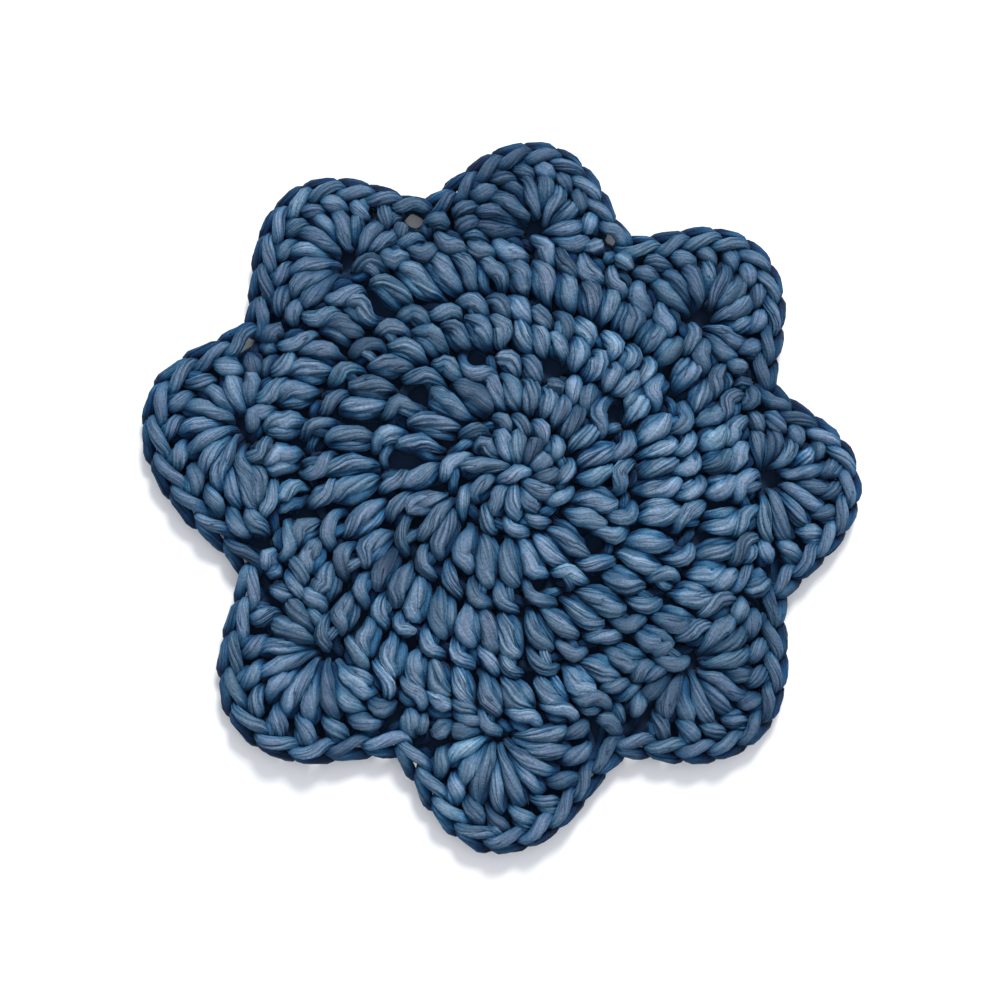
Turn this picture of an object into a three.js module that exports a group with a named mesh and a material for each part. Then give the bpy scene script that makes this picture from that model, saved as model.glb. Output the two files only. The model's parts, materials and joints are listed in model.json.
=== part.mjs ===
import * as THREE from "three";

// Crochet coaster: one flat mat worked in the round from a single blue yarn.
// Four rounds of stitches lie inside a border of eight scallop shells.
// Millimetres, +Z up, underside on z = 0, x and y centred on the mat's outline.

// ---- driving sizes, in millimetres ----
const GROOVE = 1.3; // how far the line between two rounds lies below the crowns
const RIM_HEIGHT = 4.6; // top of the chain that edges the shells
const RIM_RADIUS = 2.2; // rounding of that edge, seen in section
const EYE_RADIUS = 3.4; // hollow that each shell fans out from
const EYE_DEPTH = 1.9;
const CENTRE_RADIUS = 2.6; // drawn-in centre of the starting ring
const CENTRE_DEPTH = 1.2;
const SEGMENTS = 144; // divisions round the mat

// ---- rounds of stitches, from the centre out ----
const ROUNDS = [
  { outer: 10.3, crown: 5.4 },
  { outer: 23.0, crown: 6.0 },
  { outer: 36.3, crown: 6.0 },
  { outer: 46.8, crown: 5.7 },
];

// ---- shells, counter-clockwise from +X, measured about the starting ring ----
// tip: farthest point of the scallop; valley: the notch after it;
// eye: the stitch that the shell's posts all rise from. Degrees and millimetres.
const SHELLS = [
  { tipDeg: -1.4, tip: 68.1, valleyDeg: 18.8, valley: 53.4, eyeDeg: -0.9, eye: 50.0 },
  { tipDeg: 42.6, tip: 66.4, valleyDeg: 64.2, valley: 51.1, eyeDeg: 40.3, eye: 48.2 },
  { tipDeg: 85.8, tip: 65.6, valleyDeg: 108.3, valley: 55.7, eyeDeg: 85.9, eye: 48.8 },
  { tipDeg: 129.1, tip: 70.5, valleyDeg: 151.2, valley: 59.2, eyeDeg: 128.4, eye: 53.0 },
  { tipDeg: 170.2, tip: 73.0, valleyDeg: 199.6, valley: 55.8, eyeDeg: 169.8, eye: 54.1 },
  { tipDeg: 223.6, tip: 73.0, valleyDeg: 246.6, valley: 58.4, eyeDeg: 223.3, eye: 51.2 },
  { tipDeg: 266.8, tip: 73.2, valleyDeg: 290.2, valley: 57.8, eyeDeg: 266.0, eye: 51.6 },
  { tipDeg: 312.4, tip: 69.9, valleyDeg: 335.2, valley: 57.4, eyeDeg: 313.0, eye: 50.7 },
];
const LOBE_POWER = 1.23; // 1 is a plain sine lobe; more draws the notches in

// ---- a shell in section, from the last round out to the edging chain ----
// share: way across the shell; height: top of the posts there.
const SHELL_SECTION = [
  { share: 0.8, height: 4.9 },
  { share: 0.64, height: 5.4 },
  { share: 0.48, height: 5.7 },
  { share: 0.33, height: 5.7 },
  { share: 0.2, height: 5.4 },
  { share: 0.09, height: 4.9 },
];

const DEG = Math.PI / 180;
const BODY_EDGE = ROUNDS[ROUNDS.length - 1].outer; // the shells start here
const NOMINAL = 66; // the lathe's plain outer radius, before it is scalloped

// Outline of the mat: distance from the starting ring's centre, for an angle.
function outline(degrees) {
  for (let i = 0; i < SHELLS.length; i++) {
    const shell = SHELLS[i];
    const before = SHELLS[(i + SHELLS.length - 1) % SHELLS.length];
    const start = before.valleyDeg - (i === 0 ? 360 : 0);
    let a = degrees;
    while (a >= start + 360) a -= 360;
    while (a < start) a += 360;
    if (a > shell.valleyDeg) continue;
    const rising = a < shell.tipDeg;
    const s = rising
      ? (a - start) / (shell.tipDeg - start)
      : (shell.valleyDeg - a) / (shell.valleyDeg - shell.tipDeg);
    const low = rising ? before.valley : shell.valley;
    return low + (shell.tip - low) * Math.pow(Math.sin((s * Math.PI) / 2), LOBE_POWER);
  }
  throw new Error("angle outside the shells");
}

// Section of the mat from the middle of the underside, round the rim, to the
// middle of the top, before the outline is scalloped.
function section() {
  const points = [new THREE.Vector2(0, 0), new THREE.Vector2(BODY_EDGE - 4, 0)];
  points.push(new THREE.Vector2(NOMINAL - RIM_RADIUS, 0));
  for (const step of [-45, 0, 45]) {
    const lift = RIM_HEIGHT - RIM_RADIUS;
    points.push(
      new THREE.Vector2(
        NOMINAL - RIM_RADIUS + RIM_RADIUS * Math.cos(step * DEG),
        step < 0
          ? RIM_RADIUS * (1 + Math.sin(step * DEG))
          : lift + RIM_RADIUS * Math.sin(step * DEG),
      ),
    );
  }
  for (const { share, height } of SHELL_SECTION)
    points.push(new THREE.Vector2(BODY_EDGE + share * (NOMINAL - BODY_EDGE), height));
  for (let i = ROUNDS.length - 1; i >= 0; i--) {
    const inner = i > 0 ? ROUNDS[i - 1].outer : 0;
    const { outer, crown } = ROUNDS[i];
    const width = outer - inner;
    points.push(new THREE.Vector2(outer, crown - GROOVE));
    points.push(new THREE.Vector2(outer - width * 0.24, crown - 0.15));
    points.push(new THREE.Vector2(outer - width * 0.62, crown));
  }
  points.push(new THREE.Vector2(CENTRE_RADIUS, ROUNDS[0].crown - CENTRE_DEPTH * 0.4));
  points.push(new THREE.Vector2(0, ROUNDS[0].crown - CENTRE_DEPTH));
  return points;
}

// The lathe's turned shape, scalloped by the outline and hollowed at the eyes.
function matGeometry() {
  const geometry = new THREE.LatheGeometry(section(), SEGMENTS);
  geometry.rotateX(Math.PI / 2); // the lathe turns about Y; the mat lies in XY
  const eyes = SHELLS.map(({ eyeDeg, eye }) => ({
    x: eye * Math.cos(eyeDeg * DEG),
    y: eye * Math.sin(eyeDeg * DEG),
  }));
  const position = geometry.getAttribute("position");
  for (let i = 0; i < position.count; i++) {
    let x = position.getX(i);
    let y = position.getY(i);
    let z = position.getZ(i);
    const r = Math.hypot(x, y);
    if (r > BODY_EDGE) {
      const degrees = Math.atan2(y, x) / DEG;
      const stretch = (outline(degrees) - BODY_EDGE) / (NOMINAL - BODY_EDGE);
      const moved = BODY_EDGE + (r - BODY_EDGE) * stretch;
      x *= moved / r;
      y *= moved / r;
    }
    if (z > RIM_HEIGHT * 0.85) {
      for (const eye of eyes) {
        const d = Math.hypot(x - eye.x, y - eye.y) / EYE_RADIUS;
        z -= EYE_DEPTH * Math.exp(-d * d);
      }
    }
    position.setXYZ(i, x, y, z);
  }
  geometry.computeBoundingBox();
  const box = geometry.boundingBox;
  geometry.translate(-(box.min.x + box.max.x) / 2, -(box.min.y + box.max.y) / 2, 0);
  geometry.computeVertexNormals();
  return geometry;
}

const yarn = new THREE.MeshStandardMaterial({
  name: "yarn",
  color: new THREE.Color(0.1, 0.17, 0.28),
  roughness: 0.85,
  metalness: 0,
});

const coaster = new THREE.Mesh(matGeometry(), yarn);
coaster.name = "coaster";

const group = new THREE.Group();
group.name = "crochet_coaster";
group.add(coaster);

export default group;
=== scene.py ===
import json
import math
import time

import bpy
import numpy as np
from mathutils import Matrix, Vector

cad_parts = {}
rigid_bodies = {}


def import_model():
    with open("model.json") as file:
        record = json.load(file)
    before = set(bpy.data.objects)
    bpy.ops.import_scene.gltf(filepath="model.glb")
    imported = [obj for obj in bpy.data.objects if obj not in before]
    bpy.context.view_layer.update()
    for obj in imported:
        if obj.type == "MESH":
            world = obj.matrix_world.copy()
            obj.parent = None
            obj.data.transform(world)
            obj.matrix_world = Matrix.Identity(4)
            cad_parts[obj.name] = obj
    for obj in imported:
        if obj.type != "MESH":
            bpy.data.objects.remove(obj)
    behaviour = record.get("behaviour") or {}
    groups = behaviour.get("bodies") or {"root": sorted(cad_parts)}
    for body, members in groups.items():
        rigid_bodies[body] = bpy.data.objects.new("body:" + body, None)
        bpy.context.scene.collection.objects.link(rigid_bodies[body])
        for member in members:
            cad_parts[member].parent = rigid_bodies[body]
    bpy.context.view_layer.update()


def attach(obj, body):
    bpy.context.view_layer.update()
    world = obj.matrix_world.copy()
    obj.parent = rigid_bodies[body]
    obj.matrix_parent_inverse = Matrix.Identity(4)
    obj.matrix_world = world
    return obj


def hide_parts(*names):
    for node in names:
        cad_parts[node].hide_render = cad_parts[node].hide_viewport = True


# Crochet coaster: the yarn of every stitch, worked in the round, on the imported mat.
# Work is in millimetres, +Z up, about the starting ring; it is put in metres at the end.

STARTED = time.time()
for thing in list(bpy.data.objects):
    bpy.data.objects.remove(thing, do_unlink=True)
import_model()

MM = 0.001
CENTRE = np.array([2.06, 3.82])  # the starting ring, in the mat's frame
YARN_RADIUS = 1.19  # soft yarn where nothing presses on it
STEP = 1.0  # spacing of the points that settle
RING_STRAIGHT, RING_BENT = 2.1, 1.0  # spacing of the tube's rings
GROOVE_DEPTH = 0.70  # radius in the grooves between strands, as a share
CLOSE_WITHIN, CLOSE_BETWEEN = 0.66, 1.0  # how near yarns lie, as a share of their radii
SIDES = 24  # eight strands of three corners each
TWIST_PITCH = -36.0  # length of one turn of the strands; they turn to the left
BACK, MID, FRONT = 1.35, 3.1, 4.9  # heights of the yarn's middle in the mat
SEED = 176
VIEW_LEAN = 6.0  # degrees that the camera leans from straight above
VIEW_WIDTH = 724  # pixels of the mat's width, of 1000
VIEW_AIM = (-1.2, -1.3)  # the point of the mat in the middle of the view

# shells, counter-clockwise: tip and notch of the outline, and the stitch they rise from
SHELLS = [
    # tip deg, tip mm, valley deg, valley mm, eye deg, eye mm
    (-1.4, 68.1, 18.8, 53.4, -0.9, 50.0),
    (42.6, 66.4, 64.2, 51.1, 40.3, 48.2),
    (85.8, 65.6, 108.3, 55.7, 85.9, 48.8),
    (129.1, 70.5, 151.2, 59.2, 128.4, 53.0),
    (170.2, 73.0, 199.6, 55.8, 169.8, 54.1),
    (223.6, 73.0, 246.6, 58.4, 223.3, 51.2),
    (266.8, 73.2, 290.2, 57.8, 266.0, 51.6),
    (312.4, 69.9, 335.2, 57.4, 313.0, 50.7),
]
LOBE_POWER = 1.23
COUNTS = {1: 12, 2: 25, 3: 40, 4: 48}
# radius of each round's chain, by angle in degrees: the rounds aren't quite circles
LINES = {
    1: [
        (0, 9.8), (30, 8.9), (60, 8.9), (90, 9.5), (110, 10.2), (130, 11.2), (150, 12.2),
        (170, 13.2), (200, 12.5), (220, 11.5), (250, 10.8), (280, 10.6), (310, 9.5), (340, 9.4),
    ],
    2: [
        (0, 21.1), (15, 21.7), (30, 21.4), (48, 20.3), (62, 19.9), (85, 20.6), (100, 22.3),
        (120, 24.3), (137, 26.1), (160, 26.4), (180, 24.6), (200, 24.6), (220, 25.0),
        (240, 24.6), (260, 25.0), (280, 23.8), (300, 23.1), (320, 22.4), (340, 22.3),
    ],
    3: [
        (0, 33.8), (16, 33.7), (35, 32.4), (52, 31.2), (66, 30.4), (78, 31.0), (90, 32.3),
        (103, 33.6), (118, 34.9), (133, 37.6), (150, 38.5), (170, 40.3), (187, 38.9),
        (207, 37.3), (226, 37.1), (250, 36.8), (270, 37.1), (294, 35.9), (314, 35.8),
        (335, 36.0), (350, 35.0),
    ],
    4: [
        (0, 44.6), (20, 44.6), (30, 44.0), (40, 43.6), (50, 43.2), (70, 43.2), (80, 44.0),
        (88, 44.6), (95, 45.2), (103, 46.6), (110, 48.4), (116, 49.8), (128, 50.2),
        (138, 49.6), (150, 50.6), (160, 51.4), (170, 51.2), (178, 50.4), (188, 48.6),
        (200, 46.8), (210, 47.6), (222, 48.4), (232, 48.4), (240, 48.0), (250, 47.2),
        (262, 48.4), (270, 48.4), (280, 47.6), (290, 46.8), (300, 47.2), (308, 47.0),
        (320, 47.4), (340, 47.4), (350, 46.6), (355, 45.8),
    ],
}
# how far the stitches slant, in degrees, by angle
SLANT = [
    (0, -1), (30, -3), (60, 4), (90, 12), (120, 15), (150, 8),
    (180, 5), (210, 7), (240, 10), (270, 15), (300, 14), (330, 5),
]
POSTS = 8  # tall stitches in a shell
RIM_INSET = 2.5  # the edging chain's middle lies this far inside the outline
# open spots between stitches: degrees, distance from the centre, half width
GAPS = [
    (109.8, 23.6, 2.2),
    (141.5, 24.4, 2.1),
    (174.0, 20.4, 2.0),
    (174.0, 23.2, 2.1),
    (71.5, 21.8, 2.3),
    (32.3, 22.4, 2.2),
    (-41.5, 17.0, 1.2),
    (-42.5, 20.6, 1.9),
    (-79.0, 22.0, 1.5),
    (206.0, 21.3, 1.3),
    (-5.0, 18.4, 1.3),
    (-2.0, 21.2, 1.0),
    (240.0, 22.2, 1.0),
    (93.5, 25.2, 0.8),
    (131.0, 41.5, 1.1),
    (97.5, 37.4, 1.0),
    (237.0, 38.2, 0.8),
    (-12.0, 24.6, 0.8),
    (111.8, 52.4, 1.1),
]
# open right through, beside notches, where the table shows
THROUGH = [(112.2, 53.9, 1.9), (68.4, 49.9, 0.9), (154.0, 57.5, 0.9)]
EYE_GAPS = [2.0, 1.8, 1.5, 1.6, 1.3, 0.6, 0.5, 1.0]  # half width at each shell's eye
# patches where the yarn is lighter or darker: x, y, reach in mm, and the change
PATCHES = [
    (3.5, 29.0, 6.0, 0.16),
    (14.0, 27.0, 6.0, 0.12),
    (23.0, 20.0, 6.0, 0.12),
    (29.0, 9.0, 6.0, 0.16),
    (33.0, -2.0, 9.0, 0.50),
    (-6.0, -58.0, 9.0, 0.30),
    (-33.0, 2.0, 7.0, 0.10),
    (-61.0, 11.0, 9.0, 0.06),
    (57.0, 1.0, 7.0, 0.08),
    (35.0, 31.0, 11.0, -0.30),
    (51.0, 16.0, 7.0, -0.35),
    (-17.0, -24.0, 7.0, -0.25),
    (-8.0, 52.0, 14.0, -0.38),
    (27.0, -39.0, 9.0, -0.25),
    (-41.0, 33.0, 8.0, -0.18),
    (-8.0, -40.0, 10.0, 0.30),
    (44.0, -46.0, 10.0, -0.08),
]


def outline(deg):
    """Distance of the mat's edge from the starting ring, for angles in degrees."""
    deg = np.atleast_1d(np.asarray(deg, float))
    out = np.zeros_like(deg)
    for i, (tip_deg, tip, valley_deg, valley, _, _) in enumerate(SHELLS):
        before = SHELLS[i - 1]
        start = before[2] - (360 if i == 0 else 0)
        a = (deg - start) % 360 + start
        inside = a <= valley_deg
        rising = a < tip_deg
        s = np.where(
            rising,
            (a - start) / (tip_deg - start),
            (valley_deg - a) / (valley_deg - tip_deg),
        )
        low = np.where(rising, before[3], valley)
        r = low + (tip - low) * np.sin(np.clip(s, 0, 1) * np.pi / 2) ** LOBE_POWER
        out = np.where(inside, r, out)
    return out


# ---- where the rounds run -------------------------------------------------

# knots of the fourth round: link 6i lies under shell i's eye, link 6i + 3 at the notch
KNOT_LINK, KNOT_DEG = [], []
for i, shell in enumerate(SHELLS):
    KNOT_LINK += [6 * i, 6 * i + 3]
    KNOT_DEG += [shell[4], shell[2]]
KNOT_LINK = np.array(KNOT_LINK + [48.0])
KNOT_DEG = np.array(KNOT_DEG + [KNOT_DEG[0] + 360])


def line_radius(rnd, deg):
    """Radius of a round's chain at an angle, or at each of several."""
    at, radius = zip(*LINES[rnd])
    return np.interp(deg % 360, at, radius, period=360)


def lean(rnd, deg):
    """How far a post's top lies counter-clockwise of its foot, in mm."""
    at, slant = zip(*SLANT)
    height = line_radius(rnd, deg) - (2.3 if rnd == 1 else line_radius(rnd - 1, deg))
    return height * math.tan(math.radians(np.interp(deg % 360, at, slant, period=360)))


def foot_of(rnd, j):
    """The link of the round before that stitch j is worked into, and its place among
    the stitches that share it, from -1 to 1."""
    if rnd == 1:
        return j, 0.0
    here, below = COUNTS[rnd], COUNTS[rnd - 1]
    bases = [math.floor((k + 0.5) * below / here) for k in range(j - 2, j + 3)]
    after = sum(base == bases[2] for base in bases[3:])
    before = sum(base == bases[2] for base in bases[:2])
    return bases[2], float(before - after) / max(1, before + after)


def link_angles():
    """Angle, in degrees, of the middle of each link of each round (as functions of m)."""
    angles = {4: lambda m: float(np.interp(m % 48, KNOT_LINK, KNOT_DEG)) + 360 * (m // 48)}
    for rnd in (4, 3, 2):
        count = COUNTS[rnd - 1]
        mean = np.zeros(count)
        number = np.zeros(count)
        for j in range(COUNTS[rnd]):
            base, _ = foot_of(rnd, j)
            top = angles[rnd](j + 0.5)
            middle = (line_radius(rnd, top) + line_radius(rnd - 1, top)) / 2
            mean[base] += top - math.degrees(lean(rnd, top) / middle)
            number[base] += 1
        mean /= number
        even = mean.mean() + (np.arange(count) - (count - 1) / 2) * 360 / count
        mean = 0.6 * mean + 0.4 * even + 180 / count  # feet are at the start of the link

        def at(m, mean=mean, count=count):
            whole = math.floor(m)
            a = mean[whole % count] + 360 * (whole // count)
            b = mean[(whole + 1) % count] + 360 * ((whole + 1) // count)
            return a + (b - a) * (m - whole)

        angles[rnd - 1] = at
    return angles


rng = np.random.default_rng(SEED)
ANGLES = link_angles()


def polar(r, deg):
    return np.array([r * math.cos(math.radians(deg)), r * math.sin(math.radians(deg))])


def left_of(v):
    return np.array([-v[1], v[0]])


def unit(v):
    return v / np.linalg.norm(v)


class Link:
    """A link of a round's chain, from pinch `a` to pinch `b`, worked counter-clockwise."""

    def __init__(self, a, b):
        self.a, self.b = a, b
        self.along = unit(b - a)
        self.out = -left_of(self.along)
        self.middle = (a + b) / 2
        self.length = np.linalg.norm(b - a)


# ---- the yarn -------------------------------------------------------------


class Yarn:
    """Control points of one run of yarn, with how much each is squeezed."""

    def __init__(self):
        self.points, self.gauge, self.hold, self.stitch = [], [], [], []
        self.number = 0

    def put(self, xy, z, gauge=1.0, hold=1.0):
        self.points.append((xy[0], xy[1], z))
        self.gauge.append(gauge)
        self.hold.append(hold)
        self.stitch.append(self.number)


def chain_run(yarn, link, low=0.0):
    """The link: up through the loops below at its pinch, along the front, round, and back."""

    def q(e, dr, z, gauge=1.0, hold=1.0):
        if z > 3.4:
            z -= low
            gauge *= 1 - 0.2 * low
        yarn.put(link.a + e * link.length * link.along + dr * link.out, z, gauge, hold)

    q(0.30, -1.6, 1.8, 0.78)
    q(0.14, -1.5, 2.6, 0.74)
    q(-0.03, -1.2, 3.3, 0.72, 2)
    q(-0.10, -0.5, 3.9, 0.78, 2)
    q(-0.02, 0.2, 4.3, 0.86, 2)
    q(0.17, 0.5, 4.6, 0.98)
    q(0.43, 0.5, 4.7, 1.08)
    q(0.72, 0.4, 4.5, 1.00)
    q(0.96, 0.0, 4.2, 0.86)
    q(1.10, -0.5, 3.7, 0.76, 2)
    q(1.10, -0.5, 2.6, 0.72, 2)
    q(0.94, -0.1, 1.8, 0.76)
    q(0.68, 0.3, 1.5, 0.80)
    q(0.40, 0.4, 1.5, 0.80)
    q(0.12, 0.3, 1.7, 0.76)
    q(-0.06, 0.0, 2.3, 0.72, 2)
    q(-0.10, -0.7, 2.5, 0.70, 2)
    q(0.02, -1.3, 2.2, 0.74)
    q(0.18, -1.7, 1.7, 0.76)


def rim_run(yarn, link):
    """A link of the edging: two slanting strands side by side, that fork along the edge."""

    def q(e, dr, z, gauge=1.0, hold=2.5):
        yarn.put(link.a + e * link.length * link.along + dr * link.out, z, gauge, hold)

    q(0.34, -2.0, 1.6, 0.74, 1)
    q(0.12, -1.6, 2.1, 0.70, 1)
    q(-0.08, -0.9, 2.7, 0.66)
    q(-0.12, -0.2, 3.3, 0.68)
    q(0.04, -0.05, 3.9, 0.78)
    q(0.28, -0.45, 4.3, 0.92)
    q(0.56, -0.85, 4.4, 0.98)
    q(0.84, -1.10, 4.3, 0.94)
    q(1.08, -1.05, 3.8, 0.82)
    q(1.26, -0.60, 3.0, 0.70)
    q(1.33, 0.15, 2.4, 0.68)
    q(1.26, 0.80, 2.5, 0.76)
    q(1.06, 1.12, 2.9, 0.88)
    q(0.80, 1.18, 3.3, 0.96)
    q(0.54, 1.10, 3.5, 0.98)
    q(0.28, 0.88, 3.4, 0.92)
    q(0.06, 0.50, 3.1, 0.80)
    q(-0.08, 0.0, 2.5, 0.68)
    q(-0.08, -0.7, 2.1, 0.66)
    q(0.02, -1.4, 1.8, 0.70, 1)
    q(0.20, -1.8, 1.6, 0.74, 1)


class Post:
    """Coordinates along a stitch's post: s sideways (counter-clockwise), t from foot to top."""

    def __init__(self, yarn, foot, top, width_foot, width_top, gauge_foot=1.0, sunk=0.0):
        self.yarn, self.foot, self.top = yarn, foot, top
        self.sunk = sunk  # how far it lies under its neighbours at the foot
        self.height = np.linalg.norm(top - foot)
        self.axis = (top - foot) / self.height
        self.left = left_of(self.axis)
        self.width = (width_foot, width_top)
        self.gauge_foot = gauge_foot
        self.full = 1 + rng.normal(0, 0.09)  # how tightly this stitch was drawn up
        self.skew = rng.normal(0, 0.06, 2)

    def squeeze(self, t):
        clipped = min(max(t, 0.0), 1.0)
        return self.gauge_foot + (1 - self.gauge_foot) * min(1.0, clipped / 0.55)

    def __call__(self, s, t, z, gauge=0.74, hold=1.0):
        clipped = min(max(t, 0.0), 1.0)
        w = self.width[0] + (self.width[1] - self.width[0]) * clipped
        sink = self.sunk * max(0.0, 1 - clipped / 0.5) * (1.0 if z > 2.5 else 0.0)
        if gauge > 0.9:
            gauge *= self.full
            s += self.skew[0] + rng.normal(0, 0.04)
            t += self.skew[1] * 0.5 * (1 - abs(2 * clipped - 1)) + rng.normal(0, 0.012)
            z += rng.normal(0, 0.15)
        self.yarn.put(
            self.foot + t * self.height * self.axis + s * w * self.left,
            z - sink,
            gauge * self.squeeze(t),
            hold,
        )

    def through(self, hole, s, z):
        """The yarn's way through the hole that the stitch is worked into."""
        self.yarn.put(hole + s * self.width[0] * self.left, z, 0.66 * self.squeeze(0), 2)


def tall_stitch(yarn, post, hole, cap):
    """A tall stitch: wrap, lower loop through the foot's hole, upper loop through both.
    `cap` is how much the wrap stands out above the leg, from 0 to 1."""
    p = post
    # wrap: behind the post, over its front from the upper left, down the back
    p(-0.55, 0.90, 1.4)
    p(-0.10, 0.98, 1.3)
    p(0.38, 1.02, 1.6)
    p(0.54, 1.02, 2.9, 0.78)
    p(0.46, 1.00, 4.1 + 0.3 * cap, 0.86 + 0.12 * cap)
    p(0.25, 0.96, 4.8 + 0.6 * cap, 1.00 + 0.30 * cap)
    p(-0.03, 0.89, 5.1 + 0.7 * cap, 1.08 + 0.36 * cap)
    p(-0.29, 0.81, 4.7 + 0.6 * cap, 0.96 + 0.24 * cap)
    p(-0.46, 0.71, 3.9, 0.82)
    p(-0.36, 0.60, 2.3, 0.74)
    p(-0.20, 0.44, 1.4)
    p(-0.08, 0.22, 1.3)
    p(-0.04, 0.04, 1.5, 0.72)
    p.through(hole, -0.12, 2.2)
    p(-0.13, -0.03, 3.0 - 0.4 * cap, 0.64)
    # lower loop, the broad front leg
    p(-0.15, 0.03 + 0.04 * cap, 4.2 - 1.1 * cap, 0.84 - 0.16 * cap)
    p(-0.16, 0.11 + 0.04 * cap, 5.1 - 0.8 * cap, 1.14 - 0.20 * cap)
    p(-0.15, 0.23, 5.5 - 0.1 * cap, 1.38 - 0.06 * cap)
    p(-0.11, 0.35, 5.6, 1.50)
    p(-0.03, 0.48, 5.5, 1.50)
    p(0.05, 0.62 - 0.02 * cap, 5.3 - 0.3 * cap, 1.38 - 0.14 * cap)
    p(0.13, 0.73 - 0.03 * cap, 4.6 - 0.6 * cap, 1.06 - 0.20 * cap)
    p(0.26, 0.76, 2.9, 0.70)
    # lower loop, the leg beside it
    p(0.35, 0.70, 3.2, 0.76)
    p(0.40, 0.57, 4.1, 0.96)
    p(0.39, 0.43, 4.7, 1.08)
    p(0.35, 0.29, 4.8 - 0.2 * cap, 1.04)
    p(0.28, 0.15, 4.3 - 0.6 * cap, 0.88 - 0.10 * cap)
    p(0.17, 0.02, 3.1 - 0.4 * cap, 0.66)
    p.through(hole, 0.14, 2.1)
    p(0.20, 0.04, 1.4, 0.72)
    p(0.34, 0.22, 1.3)
    p(0.46, 0.42, 1.3)
    # upper loop, through the lower loop and the wrap
    p(0.44, 0.58, 2.0, 0.74)
    p(0.20, 0.67, 2.7, 0.72)
    p(-0.06, 0.76, 3.2, 0.72)
    p(-0.14, 0.85, 3.5, 0.76)
    p(-0.04, 0.93, 3.6, 0.78)
    p(0.10, 1.00, 3.4, 0.76)
    p(0.18, 1.03, 2.8, 0.72)
    p(0.10, 1.00, 2.2, 0.72)
    p(-0.04, 0.90, 2.0, 0.72)
    p(-0.12, 0.78, 2.2, 0.72)
    p(0.04, 0.68, 2.1, 0.72)
    p(0.32, 0.66, 1.7)
    p(0.48, 0.76, 1.3)
    p(0.50, 0.90, 1.4)


def first_stitch(yarn, post, hole):
    """A stitch over the starting ring: two legs side by side, and the wrap over their tops."""
    p = post
    p(-0.50, 0.88, 1.4)
    p(0.10, 0.96, 1.3)
    p(0.46, 0.98, 1.8, 0.70)
    p(0.50, 0.96, 3.2, 0.76)
    p(0.34, 0.94, 4.6, 0.98)
    p(0.06, 0.88, 5.1, 1.14)
    p(-0.24, 0.80, 4.6, 0.98)
    p(-0.42, 0.70, 3.2, 0.76)
    p(-0.30, 0.50, 1.8, 0.70)
    p(-0.05, 0.20, 1.3, 0.66)
    p.through(hole, -0.10, 2.6)
    p(-0.16, -0.04, 4.2, 0.84)
    p(-0.22, 0.10, 5.0, 1.12)
    p(-0.20, 0.26, 5.4, 1.38)
    p(-0.14, 0.44, 5.4, 1.46)
    p(-0.05, 0.60, 5.0, 1.26)
    p(0.08, 0.74, 4.0, 0.90)
    p(0.20, 0.80, 3.0, 0.72)
    p(0.32, 0.70, 3.2, 0.78)
    p(0.36, 0.54, 4.1, 1.00)
    p(0.34, 0.36, 4.6, 1.12)
    p(0.28, 0.18, 4.5, 1.02)
    p(0.18, -0.02, 3.8, 0.80)
    p.through(hole, 0.14, 2.4)
    p(0.22, 0.14, 1.4, 0.66)
    p(0.40, 0.45, 1.3)
    p(0.10, 0.70, 2.6, 0.72)
    p(0.00, 0.88, 3.7, 0.84)
    p(0.14, 1.00, 3.7, 0.80)
    p(0.20, 1.00, 2.8, 0.72)
    p(0.30, 0.86, 1.8, 0.70)
    p(0.50, 0.82, 1.4)


def shell_stitch(yarn, post, hole):
    """A stitch of a shell: two long legs that fan out from the eye, the wrap at their tops."""
    p = post
    p(-0.55, 0.86, 1.4)
    p(-0.10, 0.93, 1.3)
    p(0.36, 0.95, 1.6)
    p(0.52, 0.94, 2.7, 0.76)
    p(0.44, 0.91, 3.9, 0.88)
    p(0.22, 0.86, 4.8, 1.12)
    p(-0.03, 0.80, 5.0, 1.20)
    p(-0.26, 0.74, 4.6, 1.02)
    p(-0.42, 0.67, 3.5, 0.78)
    p(-0.36, 0.58, 2.2, 0.72)
    p(-0.20, 0.42, 1.4)
    p(-0.08, 0.22, 1.3)
    p(-0.04, 0.04, 1.5, 0.72)
    p.through(hole, -0.12, 2.8)
    p(-0.13, -0.03, 4.0, 0.72)
    p(-0.17, 0.03, 4.8, 0.92)
    p(-0.18, 0.12, 5.3, 1.16)
    p(-0.17, 0.23, 5.4, 1.32)
    p(-0.13, 0.35, 5.3, 1.38)
    p(-0.06, 0.46, 5.1, 1.30)
    p(0.02, 0.56, 4.7, 1.08)
    p(0.11, 0.65, 3.9, 0.84)
    p(0.20, 0.71, 3.0, 0.72)
    p(0.29, 0.70, 2.8, 0.72)
    p(0.36, 0.62, 3.3, 0.84)
    p(0.38, 0.50, 4.0, 1.00)
    p(0.37, 0.37, 4.4, 1.10)
    p(0.34, 0.24, 4.6, 1.06)
    p(0.28, 0.12, 4.4, 0.92)
    p(0.18, 0.01, 3.8, 0.74)
    p.through(hole, 0.14, 2.7)
    p(0.20, 0.06, 1.4, 0.72)
    p(0.34, 0.24, 1.3)
    p(0.46, 0.46, 1.3)
    p(0.44, 0.60, 2.0, 0.74)
    p(0.20, 0.66, 2.7, 0.72)
    p(-0.06, 0.72, 3.2, 0.76)
    p(-0.14, 0.81, 3.6, 0.84)
    p(-0.04, 0.90, 3.8, 0.90)
    p(0.10, 0.98, 3.7, 0.86)
    p(0.18, 1.03, 3.1, 0.76)
    p(0.10, 1.00, 2.4, 0.72)
    p(-0.04, 0.90, 2.1, 0.72)
    p(-0.12, 0.78, 2.2, 0.72)
    p(0.04, 0.69, 2.1, 0.72)
    p(0.32, 0.66, 1.7)
    p(0.48, 0.76, 1.3)
    p(0.50, 0.89, 1.4)


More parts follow.
